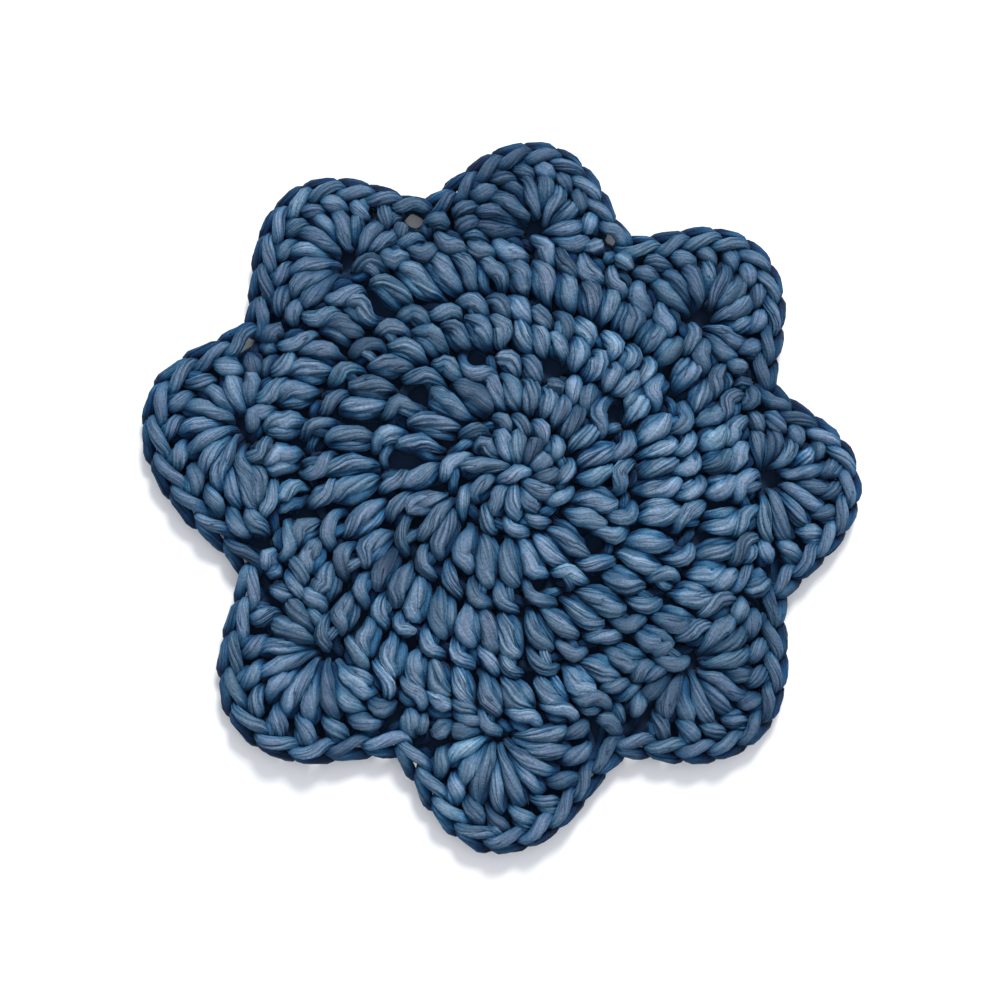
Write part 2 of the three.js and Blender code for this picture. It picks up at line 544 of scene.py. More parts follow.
def short_stitch(yarn, post, hole):
    """The stitch in a notch: one low loop."""
    p = post
    k = 1.5 / p.height
    p(-0.20, 0.60, 1.4)
    p(0.00, 0.25, 1.3)
    p.through(hole, -0.12, 2.8)
    p(-0.14, -0.5 * k, 4.0, 0.80)
    p(-0.14, 0.14, 4.8, 1.28)
    p(-0.08, 0.42, 4.8, 1.50)
    p(0.02, 0.68, 4.3, 1.26)
    p(0.12, 0.88, 3.0, 0.76)
    p(0.20, 0.80, 2.3, 0.72)
    p(0.32, 0.52, 3.7, 1.14)
    p(0.30, 0.18, 4.1, 1.16)
    p(0.18, -0.5 * k, 3.6, 0.74)
    p.through(hole, 0.16, 2.7)
    p(0.30, 0.20, 1.4)
    p(0.50, 0.60, 1.4)


def build_paths():
    """All the yarn, in order, and the name of the piece that each run belongs to."""
    runs = []
    tops = {}
    for rnd, count in COUNTS.items():
        tops[rnd] = []
        for m in range(count):
            deg = ANGLES[rnd](m + 0.5)
            r = line_radius(rnd, deg) + rng.normal(0, 0.25)
            tops[rnd].append(polar(r, deg + math.degrees(rng.normal(0, 0.25) / r)))
    # the starting ring: a small circle that the first round's posts are worked over
    ring_radius = 2.3
    number = 0
    for rnd, count in COUNTS.items():
        yarn = Yarn()
        if rnd == 1:  # the knot that the starting ring is drawn up with
            for px, py, z, g in (
                (-4.2, -1.4, 2.0, 0.70),
                (-3.0, -1.0, 3.8, 0.80),
                (-1.4, -0.4, 5.1, 1.10),
                (0.4, 0.1, 5.5, 1.25),
                (2.1, 0.5, 5.0, 1.10),
                (3.4, 1.0, 3.7, 0.80),
                (4.0, 1.3, 2.2, 0.70),
                (3.2, 0.6, 1.4, 0.66),
            ):
                yarn.put((px, py), z, g)
        for j in range(count):
            number += 1
            yarn.number = number
            link = Link(tops[rnd][j - 1], tops[rnd][j])
            if rnd == 1:
                deg = ANGLES[1](j + 0.5) - 8 + rng.normal(0, 5)
                foot = polar(ring_radius + rng.uniform(-0.9, 0.9), deg)
                hole = polar(0.9, deg)
                width_foot, gauge_foot = 1.7, 0.70
            else:
                base, side = foot_of(rnd, j)
                under = Link(tops[rnd - 1][base - 1], tops[rnd - 1][base])
                shift = side * 0.22 * under.length + 0.5
                foot = under.a + shift * under.along + 1.7 * under.out
                hole = foot - 1.4 * under.out
                width_foot = under.length * (0.6 if side else 0.8)
                gauge_foot = 0.84 if side else 0.96
            at_eye = rnd == 4 and j % 6 == 0
            chain_run(yarn, link, 1.3 if at_eye else {1: 1.2, 2: 1.5, 3: 1.5, 4: 0.7}[rnd])
            top = link.b + 1.2 * link.along + 0.9 * link.out
            sunk = rng.uniform(0, 1.6) if rnd == 1 else 0.0
            post = Post(yarn, foot, top, width_foot, link.length * 0.92, gauge_foot, sunk)
            if rnd == 1:
                first_stitch(yarn, post, hole)
            else:
                tall_stitch(yarn, post, hole, 0.6 + 0.4 * float(unit(top) @ polar(1, 65)))
        runs.append((f"round_{rnd}", yarn))
    # the shells
    fourth = [Link(tops[4][m - 1], tops[4][m]) for m in range(48)]
    rim = []
    for i, shell in enumerate(SHELLS):
        start = SHELLS[i - 1][2] - (360 if i == 0 else 0)
        end = shell[2]
        # walk the outline, drawn in by the chain's own width, at even steps
        degs = np.linspace(start, end, 241)
        radii = outline(degs)
        pts = np.stack(
            [radii * np.cos(np.radians(degs)), radii * np.sin(np.radians(degs))], 1
        )
        tangent = np.gradient(pts, axis=0)
        tangent /= np.linalg.norm(tangent, axis=1)[:, None]
        inward = np.stack([-tangent[:, 1], tangent[:, 0]], 1)
        pts = pts + RIM_INSET * inward
        arc = np.concatenate(
            [[0], np.cumsum(np.linalg.norm(np.diff(pts, axis=0), axis=1))]
        )
        share = (np.arange(POSTS) + 0.9) / (POSTS + 0.8)
        rim.append(
            [
                np.array([np.interp(s * arc[-1], arc, pts[:, c]) for c in (0, 1)])
                for s in share
            ]
        )
    notch = []
    for i, shell in enumerate(SHELLS):
        notch.append(polar(shell[3] - RIM_INSET + 0.6, shell[2]))
    for i in range(len(SHELLS)):
        yarn = Yarn()
        eye = fourth[6 * i]
        rise = SHELLS[i][5] - np.linalg.norm(eye.middle)
        before = notch[i - 1]

        def side_stitch(sign, notch_deg):
            """The stitch at a shell's side, laid along the fourth round to the notch."""
            foot = eye.middle + sign * 0.60 * eye.length * eye.along + (rise - 2.0) * eye.out
            hole = eye.middle + sign * 0.20 * eye.length * eye.along + (rise - 1.8) * eye.out
            deg = notch_deg - sign * 4.5
            post = Post(yarn, foot, polar(line_radius(4, deg) + 3.2, deg), 1.7, 4.0, 0.72, 0.8)
            post.full += 0.12
            shell_stitch(yarn, post, hole)

        number += 1
        yarn.number = number
        side_stitch(-1, SHELLS[i - 1][2])
        for k in range(POSTS):
            link = Link(before, rim[i][k])
            side = (k - (POSTS - 1) / 2) / ((POSTS - 1) / 2)
            foot = eye.middle + side * 0.42 * eye.length * eye.along
            foot = foot + (rise + 1.6 - 2.0 * side**2) * eye.out
            hole = eye.middle + side * 0.16 * eye.length * eye.along
            hole = hole + (rise - 0.4 - 0.8 * side**2) * eye.out
            number += 1
            yarn.number = number
            rim_run(yarn, link)
            top = link.b + 1.0 * link.along - 0.6 * link.out
            low = max(0.0, (abs(side) - 0.6) / 0.4)
            top = top - 0.9 * low * unit(top)
            post = Post(yarn, foot, top, 1.7, link.length * 0.92, 0.64, 1.4 * (k % 2))
            post.full += 0.16 * low
            shell_stitch(yarn, post, hole)
            before = rim[i][k]
        number += 1
        yarn.number = number
        side_stitch(1, SHELLS[i][2])
        number += 1
        yarn.number = number
        link = Link(before, notch[i])
        under = fourth[(6 * i + 3) % 48]
        rim_run(yarn, link)
        foot = under.middle + 1.4 * under.out
        hole = foot - 1.2 * under.out
        top = link.b + 1.0 * link.along - 0.6 * link.out
        short_stitch(yarn, Post(yarn, foot, top, 5.2, 5.2, 1.0), hole)
        runs.append((f"shell_{i + 1}", yarn))
    return runs


def smooth_curve(p, steps):
    """Points on a Catmull-Rom curve through p, `steps` to each of its spans."""
    p = np.concatenate([2 * p[:1] - p[1:2], p, 2 * p[-1:] - p[-2:-1]])
    t = (np.arange(steps) / steps)[:, None, None]
    a, b, c, d = p[:-3], p[1:-2], p[2:-1], p[3:]
    fine = 0.5 * (
        2 * b
        + (c - a) * t
        + (2 * a - 5 * b + 4 * c - d) * t**2
        + (3 * b - a - 3 * c + d) * t**3
    )
    fine = fine.transpose(1, 0, 2).reshape(-1, p.shape[1])
    return np.concatenate([fine, p[-2:-1]])


def length_along(p):
    return np.concatenate([[0], np.cumsum(np.linalg.norm(np.diff(p, axis=0), axis=1))])


def resample(yarn):
    """Evenly spaced points along a run, with their gauge, hold and stitch."""
    fine = smooth_curve(np.array(yarn.points), 8)
    along = length_along(fine)
    number = max(4, int(round(along[-1] / STEP)))
    at = np.linspace(0, along[-1], number + 1)
    points = np.stack([np.interp(at, along, fine[:, c]) for c in range(3)], 1)
    knots = along[::8]
    gauge = np.interp(at, knots, yarn.gauge)
    hold = np.interp(at, knots, yarn.hold)
    nearest = np.searchsorted(knots, at, "right") - 1
    stitch = np.array(yarn.stitch)[np.clip(nearest, 0, len(knots) - 1)]
    return points, gauge, hold, stitch


def near_pairs(x, reach):
    """Index pairs of points closer than about `reach`, from a sorted grid of cells."""
    cell = np.floor(x / reach).astype(np.int64)
    cell -= cell.min(0) - 1
    dims = cell.max(0) + 2
    key = (cell[:, 0] * dims[1] + cell[:, 1]) * dims[2] + cell[:, 2]
    order = np.argsort(key, kind="stable")
    ranked = key[order]
    first, second = [], []
    every = np.arange(len(x))
    for dx in (-1, 0, 1):
        for dy in (-1, 0, 1):
            for dz in (-1, 0, 1):
                shift = (dx * dims[1] + dy) * dims[2] + dz
                if shift < 0:
                    continue
                low = np.searchsorted(ranked, key + shift, "left")
                high = np.searchsorted(ranked, key + shift, "right")
                number = high - low
                total = int(number.sum())
                if not total:
                    continue
                i = np.repeat(every, number)
                offset = np.arange(total) - np.repeat(np.cumsum(number) - number, number)
                j = order[offset + np.repeat(low, number)]
                if shift == 0:
                    keep = i < j
                    i, j = i[keep], j[keep]
                first.append(i)
                second.append(j)
    i, j = np.concatenate(first), np.concatenate(second)
    gap = np.linalg.norm(x[i] - x[j], axis=1)
    keep = gap < reach
    return i[keep], j[keep]


def relax(x, radius, hold, run_of, stitch, rounds=300):
    """Settles the yarn: keeps its length, eases its bends, and parts what overlaps."""
    start = x.copy()
    n = len(x)
    same = run_of[1:] == run_of[:-1]
    seg = np.nonzero(same)[0]
    rest = np.linalg.norm(x[seg + 1] - x[seg], axis=1) * 0.985
    inner = np.nonzero(same[1:] & same[:-1])[0] + 1
    reach = 2 * radius.max() * 0.95 + 0.5
    gaps = []
    eyes = [(s[4], s[5] - 0.2, size) for s, size in zip(SHELLS, EYE_GAPS)]
    for deg, r, size in GAPS + THROUGH + eyes:
        spot = polar(r, deg)
        close = np.nonzero(np.linalg.norm(x[:, :2] - spot, axis=1) < size + 9)[0]
        gaps.append((close, spot[0], spot[1], size))
    for it in range(rounds):
        if it % 8 == 0:
            i, j = near_pairs(x, reach)
            keep = (np.abs(i - j) > 3) | (run_of[i] != run_of[j])
            i, j = i[keep], j[keep]
            want = (radius[i] + radius[j]) * np.where(
                stitch[i] == stitch[j], CLOSE_WITHIN, CLOSE_BETWEEN
            )
            near = np.linalg.norm(x[i] - x[j], axis=1) < want + 0.45
            i, j, want = i[near], j[near], want[near]
        # bends
        mean = (x[inner - 1] + x[inner + 1]) / 2
        x[inner] += 0.20 * (mean - x[inner])
        # contacts
        d = x[j] - x[i]
        gap = np.linalg.norm(d, axis=1) + 1e-9
        push = np.maximum(want - gap, 0) / gap * 0.5
        hit = push > 0
        pi, pj, dd = i[hit], j[hit], d[hit] * push[hit][:, None]
        count = np.bincount(pi, minlength=n) + np.bincount(pj, minlength=n)
        soft = 1.0 / np.maximum(1.0, 0.6 * count)
        for c in range(3):
            move = np.bincount(pj, dd[:, c], n) - np.bincount(pi, dd[:, c], n)
            x[:, c] += move * soft * 1.3
        # open spots between stitches
        for close, gx, gy, size in gaps:
            away = x[close, :2] - (gx, gy)
            far = np.linalg.norm(away, axis=1) + 1e-9
            short = np.maximum(size + radius[close] * 0.9 - far, 0)
            x[close, :2] += away * (0.35 * short / far)[:, None]
        # length, each pair of neighbours in turn
        for parity in (0, 1):
            s = seg[seg % 2 == parity]
            r = rest[seg % 2 == parity]
            d = x[s + 1] - x[s]
            length = np.linalg.norm(d, axis=1) + 1e-9
            fix = d * ((length - r) / length * 0.5)[:, None]
            x[s] += fix
            x[s + 1] -= fix
        # ties to where the stitch was worked, the table, and the cup's side
        x += 0.012 * hold[:, None] * (start - x)
        x[:, 2] = np.maximum(x[:, 2], radius * 1.02)
        over = x[:, 2] - (6.3 - radius * 0.85)
        x[:, 2] -= np.maximum(over, 0) * 0.5
    for _ in range(2):
        x[inner] += 0.25 * ((x[inner - 1] + x[inner + 1]) / 2 - x[inner])
    return x


def sway(x, y):
    """Slow chance variation over the mat, mostly within -1 to 1."""
    chance = np.random.default_rng(SEED + 7)
    total = np.zeros(len(x))
    for pitch in (26.0, 21.0, 17.0, 15.0, 13.0, 12.0, 11.0, 10.0):
        way = chance.uniform(0, math.pi)
        along = x * math.cos(way) + y * math.sin(way)
        total += np.sin(2 * math.pi * along / pitch + chance.uniform(0, 2 * math.pi))
    return total / 2.6


SHADE_REACH = 5  # cells of 0.3 mm looked over for the surface
# the strands of the yarn
STRANDS = [3, 4, 3, 2, 4, 3, 2, 3]  # corners in each strand; the first is its groove
CORNER_ANGLE, CORNER_STRAND, CORNER_GROOVE = [], [], []
for strand, corners in enumerate(STRANDS):
    for corner in range(corners):
        CORNER_STRAND.append(strand)
        CORNER_GROOVE.append(1.0 if corner == 0 else 0.0)
CORNER_STRAND = np.array(CORNER_STRAND)
CORNER_GROOVE = np.array(CORNER_GROOVE)
CORNER_ANGLE = 2 * np.pi * np.arange(SIDES) / SIDES


def place_rings(points, radius):
    """Rings along a settled run, closer together where it bends."""
    data = np.concatenate([points, radius[:, None]], 1)
    fine = smooth_curve(data, 4)
    along = length_along(fine[:, :3])
    step = np.gradient(along)
    bend = np.gradient(np.gradient(fine[:, :3], axis=0) / step[:, None], axis=0)
    curve = np.linalg.norm(bend, axis=1) / step
    curve = np.convolve(curve, np.ones(5) / 5, "same")
    share = np.clip(curve * 2.2, 0, 1)
    density = 1 / RING_STRAIGHT + (1 / RING_BENT - 1 / RING_STRAIGHT) * share
    count = np.concatenate([[0], np.cumsum((density[1:] + density[:-1]) / 2 * np.diff(along))])
    at = np.interp(np.linspace(0, count[-1], int(count[-1]) + 1), count, along)
    return np.stack([np.interp(at, along, fine[:, c]) for c in range(4)], 1)


def drift(along, pitch, seed):
    """Smooth chance variation along the yarn, with knots `pitch` apart."""
    chance = np.random.default_rng(seed)
    knots = np.arange(0, along[-1] + 2 * pitch, pitch)
    values = chance.normal(0, 1, len(knots))
    t = along / pitch
    k = np.floor(t).astype(int)
    f = t - k
    f = f * f * (3 - 2 * f)
    return values[k] * (1 - f) + values[np.minimum(k + 1, len(knots) - 1)] * f


def tube(points, radius, twist0):
    """Corner positions of a twisted, grooved tube, and each corner's attributes."""
    data = place_rings(points, radius)
    points, radius = data[:, :3], data[:, 3]
    n = len(points)
    tangent = np.gradient(points, axis=0)
    tangent /= np.linalg.norm(tangent, axis=1)[:, None] + 1e-12
    normal = np.zeros_like(points)
    v = np.array([0.0, 0.0, 1.0]) - tangent[0][2] * tangent[0]
    if np.linalg.norm(v) < 0.1:
        v = np.array([1.0, 0.0, 0.0]) - tangent[0][0] * tangent[0]
    v /= np.linalg.norm(v)
    for i in range(n):
        t = tangent[i]
        v = v - (v @ t) * t
        v /= np.linalg.norm(v) + 1e-12
        normal[i] = v
    other = np.cross(tangent, normal)
    along = length_along(points)
    turn = 2 * np.pi * along / TWIST_PITCH + twist0
    strand = CORNER_STRAND[None, :]
    # strands swell, thin and wander a little along the yarn, each on its own
    wander = 0.10 * np.sin(along[:, None] * (0.31 + 0.05 * strand) + 2.1 * strand + twist0)
    angle = CORNER_ANGLE[None, :] + turn[:, None] + wander
    swell = np.sin(along[:, None] * (0.5 + 0.13 * strand) + 1.7 * strand + twist0)
    fade = 0.5 + 0.5 * np.sin(along[:, None] * (0.23 + 0.03 * strand) + 4.3 * strand + twist0)
    seed = int(round(twist0 * 1000)) + SEED
    combed = np.clip(0.60 + 0.60 * drift(along, 7.0, seed + 3), 0.05, 1.0)
    cut = CORNER_GROOVE[None, :] * (0.25 + 0.75 * fade) * combed[:, None]
    lump = np.sin(along[:, None] * 1.3 + CORNER_ANGLE + 3.1 * twist0) * drift(along, 6.0, seed + 6)[:, None]
    lump += np.sin(along[:, None] * 0.9 - 2 * CORNER_ANGLE) * drift(along, 8.0, seed + 7)[:, None]
    r = radius[:, None] * (1.05 - (1.05 - GROOVE_DEPTH) * cut) * (1 + 0.06 * swell)
    r = r * (1 + np.clip(0.06 * lump, -0.14, 0.14))
    offset = (
        np.cos(angle)[..., None] * normal[:, None, :]
        + np.sin(angle)[..., None] * other[:, None, :]
    )
    # pressed a little flat where it lies along the mat
    lying = (1 - tangent[:, 2] ** 2)[:, None]
    offset[..., :2] *= (1 + 0.05 * lying)[..., None]
    offset[..., 2] *= 1 - 0.08 * lying
    ring = points[:, None, :] + r[..., None] * offset
    ring[..., 2] = np.maximum(ring[..., 2], 0.02)
    fibre = np.stack(
        [
            1.4 * np.cos(CORNER_ANGLE)[None, :] + 0 * along[:, None],
            1.4 * np.sin(CORNER_ANGLE)[None, :] + 0 * along[:, None],
            along[:, None] * 0.075 + 0 * CORNER_ANGLE[None, :] + twist0,
        ],
        -1,
    )
    tone = np.zeros(r.shape)
    for number in range(len(STRANDS)):
        own = 0.5 * drift(along, 14.0, seed + 10 + number)
        tone[:, CORNER_STRAND == number] = own[:, None]
    tone += (0.8 * drift(along, 11.0, seed) + 0.5 * drift(along, 45.0, seed + 1))[:, None]
    tint = np.repeat(drift(along, 16.0, seed + 5)[:, None], SIDES, 1)
    # lighter and darker patches of yarn, and painted shade at the open spots, the eyes and along the low
    # outer edge
    patch_and_shade = np.zeros(n)
    for px, py, reach, change in PATCHES:
        far = (points[:, 0] - CENTRE[0] - px) ** 2 + (points[:, 1] - CENTRE[1] - py) ** 2
        patch_and_shade += change * np.exp(-far / (2 * reach**2))
    # painted shade: darker at the open spots between stitches and at the shells' eyes
    eyes = [(shell[4], shell[5] - 0.2, size) for shell, size in zip(SHELLS, EYE_GAPS)]
    for deg, away, size in GAPS + eyes:
        spot = polar(away, deg) + CENTRE
        far = (points[:, 0] - spot[0]) ** 2 + (points[:, 1] - spot[1]) ** 2
        patch_and_shade -= 0.42 * np.exp(-far / (2 * (0.9 * size) ** 2))
    far = np.hypot(points[:, 0] - CENTRE[0], points[:, 1] - CENTRE[1])
    patch_and_shade -= 0.10 * np.clip((far - 46) / 6, 0, 1)
    # painted shade on the low yarn along the outer edge
    within = outline(np.degrees(np.arctan2(points[:, 1] - CENTRE[1], points[:, 0] - CENTRE[0]))) - far
    patch_and_shade -= 0.6 * np.clip((3.4 - within) / 1.6, 0, 1) * np.clip((3.3 - points[:, 2]) / 1.2, 0, 1)
    patch_and_shade = np.maximum(patch_and_shade, -0.6)
    patch_and_shade = np.repeat(patch_and_shade[:, None], SIDES, 1)
    return {"ring": ring, "fibre": fibre, "tone": tone, "groove": cut, "patch_and_shade": patch_and_shade, "tint": tint}


def spread(grid, reach, pick):
    """Largest (or smallest) value within `reach` cells, for each cell of a grid."""
    for axis in (0, 1):
        out = grid.copy()
        for k in range(1, reach + 1):
            for sign in (-1, 1):
                out = pick(out, np.roll(grid, sign * k, axis))
        grid = out
    return grid


def add_shade(parts):
    """How near each corner is to the mat's upper or lower surface: 0 deep, 1 on it. It darkens the yarn
    deep in the mat, as painted shade.
    """
    corners = np.concatenate([part["ring"].reshape(-1, 3) for part in parts])
    cell = 0.3
    low = corners[:, :2].min(0) - 4
    size = np.ceil((corners[:, :2].max(0) + 4 - low) / cell).astype(int)

    def cells(p):
        at = ((p[..., :2] - low) / cell).astype(int)
        return at[..., 0], at[..., 1]

    cx, cy = cells(corners)
    top = np.full(size, -1.0)
    np.maximum.at(top, (cx, cy), corners[:, 2])
    bottom = np.full(size, 9.0)
    np.minimum.at(bottom, (cx, cy), corners[:, 2])
    top = spread(top, SHADE_REACH, np.maximum)
    bottom = spread(bottom, SHADE_REACH, np.minimum)
    for part in parts:
        ring = part["ring"]
        cx, cy = cells(ring)
        above = (top[cx, cy] - ring[..., 2] - 0.2) / 1.9
        below = (ring[..., 2] - bottom[cx, cy] - 0.2) / 1.9
        deep = np.clip(np.minimum(above, below), 0, 1)
        part["shade"] = (1 - deep) ** 1.7


def mesh_from_runs(name, parts):
    """One mesh object of several closed tubes."""
    vertices, faces = [], []
    attributes = {"fibre": [], "tone": [], "groove": [], "shade": [], "patch_and_shade": [], "tint": []}
    base = 0
    for part in parts:
        ring = part["ring"]
        n = len(ring)
        vertices.append(ring.reshape(-1, 3))
        i = np.arange(n - 1)[:, None] * SIDES
        k = np.arange(SIDES)[None, :]
        k2 = (k + 1) % SIDES
        quads = np.stack(
            [i + k, i + k2, i + SIDES + k2, i + SIDES + k], -1
        ).reshape(-1, 4)
        faces.append(quads + base)
        vertices.append(np.array([ring[0].mean(0), ring[-1].mean(0)]))
        tip = base + n * SIDES
        kk = np.arange(SIDES)
        first = np.stack([np.full(SIDES, tip), base + (kk + 1) % SIDES, base + kk], 1)
        last0 = base + (n - 1) * SIDES
        last = np.stack(
            [np.full(SIDES, tip + 1), last0 + kk, last0 + (kk + 1) % SIDES], 1
        )
        faces.append(np.concatenate([first, last]))
        for key, values in attributes.items():
            data = part[key]
            wide = data.reshape(n * SIDES, -1)
            values.append(np.concatenate([wide, wide[:1], wide[-1:]]))
        base += n * SIDES + 2
    mesh = bpy.data.meshes.new(name)
    all_vertices = np.concatenate(vertices)
    sizes = np.concatenate([np.full(len(f), f.shape[1]) for f in faces])
    loops = np.concatenate([f.ravel() for f in faces])
    mesh.vertices.add(len(all_vertices))
    mesh.vertices.foreach_set("co", (all_vertices * MM).ravel())
    mesh.loops.add(len(loops))
    mesh.loops.foreach_set("vertex_index", loops.astype(np.int32))
    mesh.polygons.add(len(sizes))
    starts = np.concatenate([[0], np.cumsum(sizes)[:-1]])
    mesh.polygons.foreach_set("loop_start", starts.astype(np.int32))
    mesh.polygons.foreach_set("use_smooth", np.ones(len(sizes), bool))
    mesh.update(calc_edges=True)
    for key, values in attributes.items():
        data = np.concatenate(values).astype(np.float32)
        if data.shape[1] == 3:
            made = mesh.attributes.new(key, "FLOAT_VECTOR", "POINT")
            made.data.foreach_set("vector", data.ravel())
        else:
            made = mesh.attributes.new(key, "FLOAT", "POINT")
            made.data.foreach_set("value", data.ravel())
    thing = bpy.data.objects.new(name, mesh)
    bpy.context.scene.collection.objects.link(thing)
    return thing


# ---- materials ------------------------------------------------------------


def yarn_material():
    """Blue yarn: streaks of fibre along it, and painted shade in its grooves, along the lines between its
    threads and deep in the mat.
    """
    m = bpy.data.materials.new("yarn_blue")
    m.use_nodes = True
    nt = m.node_tree
    nodes, links = nt.nodes, nt.links
    nodes.clear()

    def node(kind, **values):
        made = nodes.new(kind)
        for key, value in values.items():
            setattr(made, key, value)
        return made

    def attribute(name):
        return node("ShaderNodeAttribute", attribute_name=name)

    def maths(operation, a, b=None, c=None, clamp=False):
        made = node("ShaderNodeMath", operation=operation, use_clamp=clamp)
        for socket, value in zip(made.inputs, (a, b, c)):
            if value is None:
                continue
            if hasattr(value, "links"):
                links.new(value, socket)
            else:
                socket.default_value = value
        return made.outputs[0]

    def noise(vector, scale, detail, roughness):
        made = node("ShaderNodeTexNoise")
        links.new(vector, made.inputs["Vector"])
        made.inputs["Scale"].default_value = scale
        made.inputs["Detail"].default_value = detail
        made.inputs["Roughness"].default_value = roughness
        return made.outputs[0]

    def between(value, low, high):
        made = node("ShaderNodeMapRange")
        links.new(value, made.inputs["Value"])
        made.inputs["From Min"].default_value = 0.36
        made.inputs["From Max"].default_value = 0.64
        made.inputs["To Min"].default_value = low
        made.inputs["To Max"].default_value = high
        return made.outputs[0]

    fibre = attribute("fibre").outputs["Vector"]
    tone = attribute("tone").outputs["Fac"]
    groove = attribute("groove").outputs["Fac"]
    shade = attribute("shade").outputs["Fac"]
    patch_and_shade = attribute("patch_and_shade").outputs["Fac"]
    tint = attribute("tint").outputs["Fac"]
    fine = noise(fibre, 2.3, 3.0, 0.62)
    threads = noise(fibre, 1.3, 0.6, 0.4)
    broad = noise(fibre, 0.8, 1.0, 0.5)
    place = node("ShaderNodeTexCoord").outputs["Object"]
    fuzz = noise(place, 1900.0, 3.0, 0.65)
    # thin lines where one thread of the yarn ends and the next begins, which
    # the fuzz hides in places; along them the yarn is darkened, as painted shade
    edge = maths("ABSOLUTE", maths("SUBTRACT", threads, 0.5))
    line = maths("MULTIPLY", edge, 1 / 0.030, clamp=True)
    hidden = noise(place, 260.0, 1.0, 0.5)
    hidden = maths("MULTIPLY", maths("SUBTRACT", hidden, 0.42), 1 / 0.16, clamp=True)
    line = maths("MAXIMUM", line, maths("MULTIPLY", hidden, 0.62))

    # brightness: the yarn's own tone and patches, with painted shade at the open spots, along the outer
    # edge, between threads and in the grooves
    light = maths("MULTIPLY", between(fine, 0.78, 1.24), between(broad, 0.88, 1.12))
    light = maths("MULTIPLY", light, between(fuzz, 0.82, 1.18))
    light = maths("MULTIPLY", light, maths("MULTIPLY_ADD", tone, 0.26, 1.05))
    light = maths("MULTIPLY", light, maths("ADD", patch_and_shade, 1.0))
    # painted shade along the lines between threads
    light = maths("MULTIPLY", light, maths("MULTIPLY_ADD", line, 0.78, 0.22))
    # painted shade in the grooves between the strands
    light = maths("MULTIPLY", light, maths("MULTIPLY_ADD", groove, -0.7, 1.0))
    # hue: greyer, stronger blue, which the shells have more of, and now and then teal
    away = node("ShaderNodeVectorMath", operation="LENGTH")
    links.new(place, away.inputs[0])
    shell = maths("MULTIPLY", maths("SUBTRACT", away.outputs["Value"], 0.047), 1 / 0.010, clamp=True)
    hue = node("ShaderNodeMixRGB")
    hue.inputs[1].default_value = (0.123, 0.157, 0.207, 1)
    hue.inputs[2].default_value = (0.106, 0.150, 0.220, 1)
    blue = maths("MULTIPLY_ADD", tone, 0.16, 0.45)
    links.new(maths("MULTIPLY_ADD", shell, 0.55, blue, True), hue.inputs[0])
    teal = node("ShaderNodeMixRGB")
    links.new(hue.outputs[0], teal.inputs[1])
    teal.inputs[2].default_value = (0.098, 0.158, 0.206, 1)
    links.new(maths("MULTIPLY_ADD", tint, 0.22, 0.35, True), teal.inputs[0])
    # darkness goes towards navy: red is lost first, also in the painted shade that the shade attribute puts
    # deep in the mat
    dark = node("ShaderNodeCombineXYZ")
    for k, (by_light, by_shade) in enumerate(((1.12, 1.65), (1.04, 0.80), (1.0, 0.52))):
        part = maths("MULTIPLY", maths("POWER", light, by_light), maths("POWER", shade, by_shade))
        links.new(part, dark.inputs[k])
    product = node("ShaderNodeVectorMath", operation="MULTIPLY")
    links.new(teal.outputs[0], product.inputs[0])
    links.new(dark.outputs[0], product.inputs[1])
    colour = node("ShaderNodeVectorMath", operation="ADD")
    links.new(product.outputs[0], colour.inputs[0])
    colour.inputs[1].default_value = (0.0, 0.009, 0.032)

    bump = node("ShaderNodeBump")
    bump.inputs["Strength"].default_value = 0.85
    bump.inputs["Distance"].default_value = 0.00055
    height = maths("ADD", maths("MULTIPLY", fine, 0.6), maths("MULTIPLY", line, 0.5))
    height = maths("MULTIPLY_ADD", fuzz, 0.7, height)
    links.new(height, bump.inputs["Height"])

    shader = node("ShaderNodeBsdfPrincipled")
    links.new(colour.outputs[0], shader.inputs["Base Color"])
    links.new(bump.outputs[0], shader.inputs["Normal"])
    shader.inputs["Roughness"].default_value = 0.65
    shader.inputs["Specular IOR Level"].default_value = 0.12
    shader.inputs["Sheen Weight"].default_value = 0.10
    shader.inputs["Sheen Roughness"].default_value = 0.45
    shader.inputs["Sheen Tint"].default_value = (0.45, 0.72, 1.0, 1)
    out = node("ShaderNodeOutputMaterial")
    links.new(shader.outputs[0], out.inputs[0])
    return m


def plain_material(name, colour, roughness=0.9):
    m = bpy.data.materials.new(name)
    m.use_nodes = True
    b = m.node_tree.nodes["Principled BSDF"]
    b.inputs["Base Color"].default_value = (*colour, 1)
    b.inputs["Roughness"].default_value = roughness
    return m


# ---- build ----------------------------------------------------------------

runs = build_paths()
points, gauges, holds, run_of, stitches = [], [], [], [], []
for index, (name, yarn) in enumerate(runs):
    p, g, h, st = resample(yarn)
    points.append(p)
    gauges.append(g)
    holds.append(h)
    stitches.append(st)
    run_of.append(np.full(len(p), index))
x = np.concatenate(points)
gauge = np.concatenate(gauges)
hold = np.concatenate(holds)
stitch_of = np.concatenate(stitches)
run_of = np.concatenate(run_of)
radius = YARN_RADIUS * gauge
print("yarn points", len(x), "length m", len(x) * STEP / 1000, flush=True)
t0 = time.time()
x = relax(x, radius, hold, run_of, stitch_of)
print("relaxed in", round(time.time() - t0, 1), "s; z", x[:, 2].min(), x[:, 2].max())

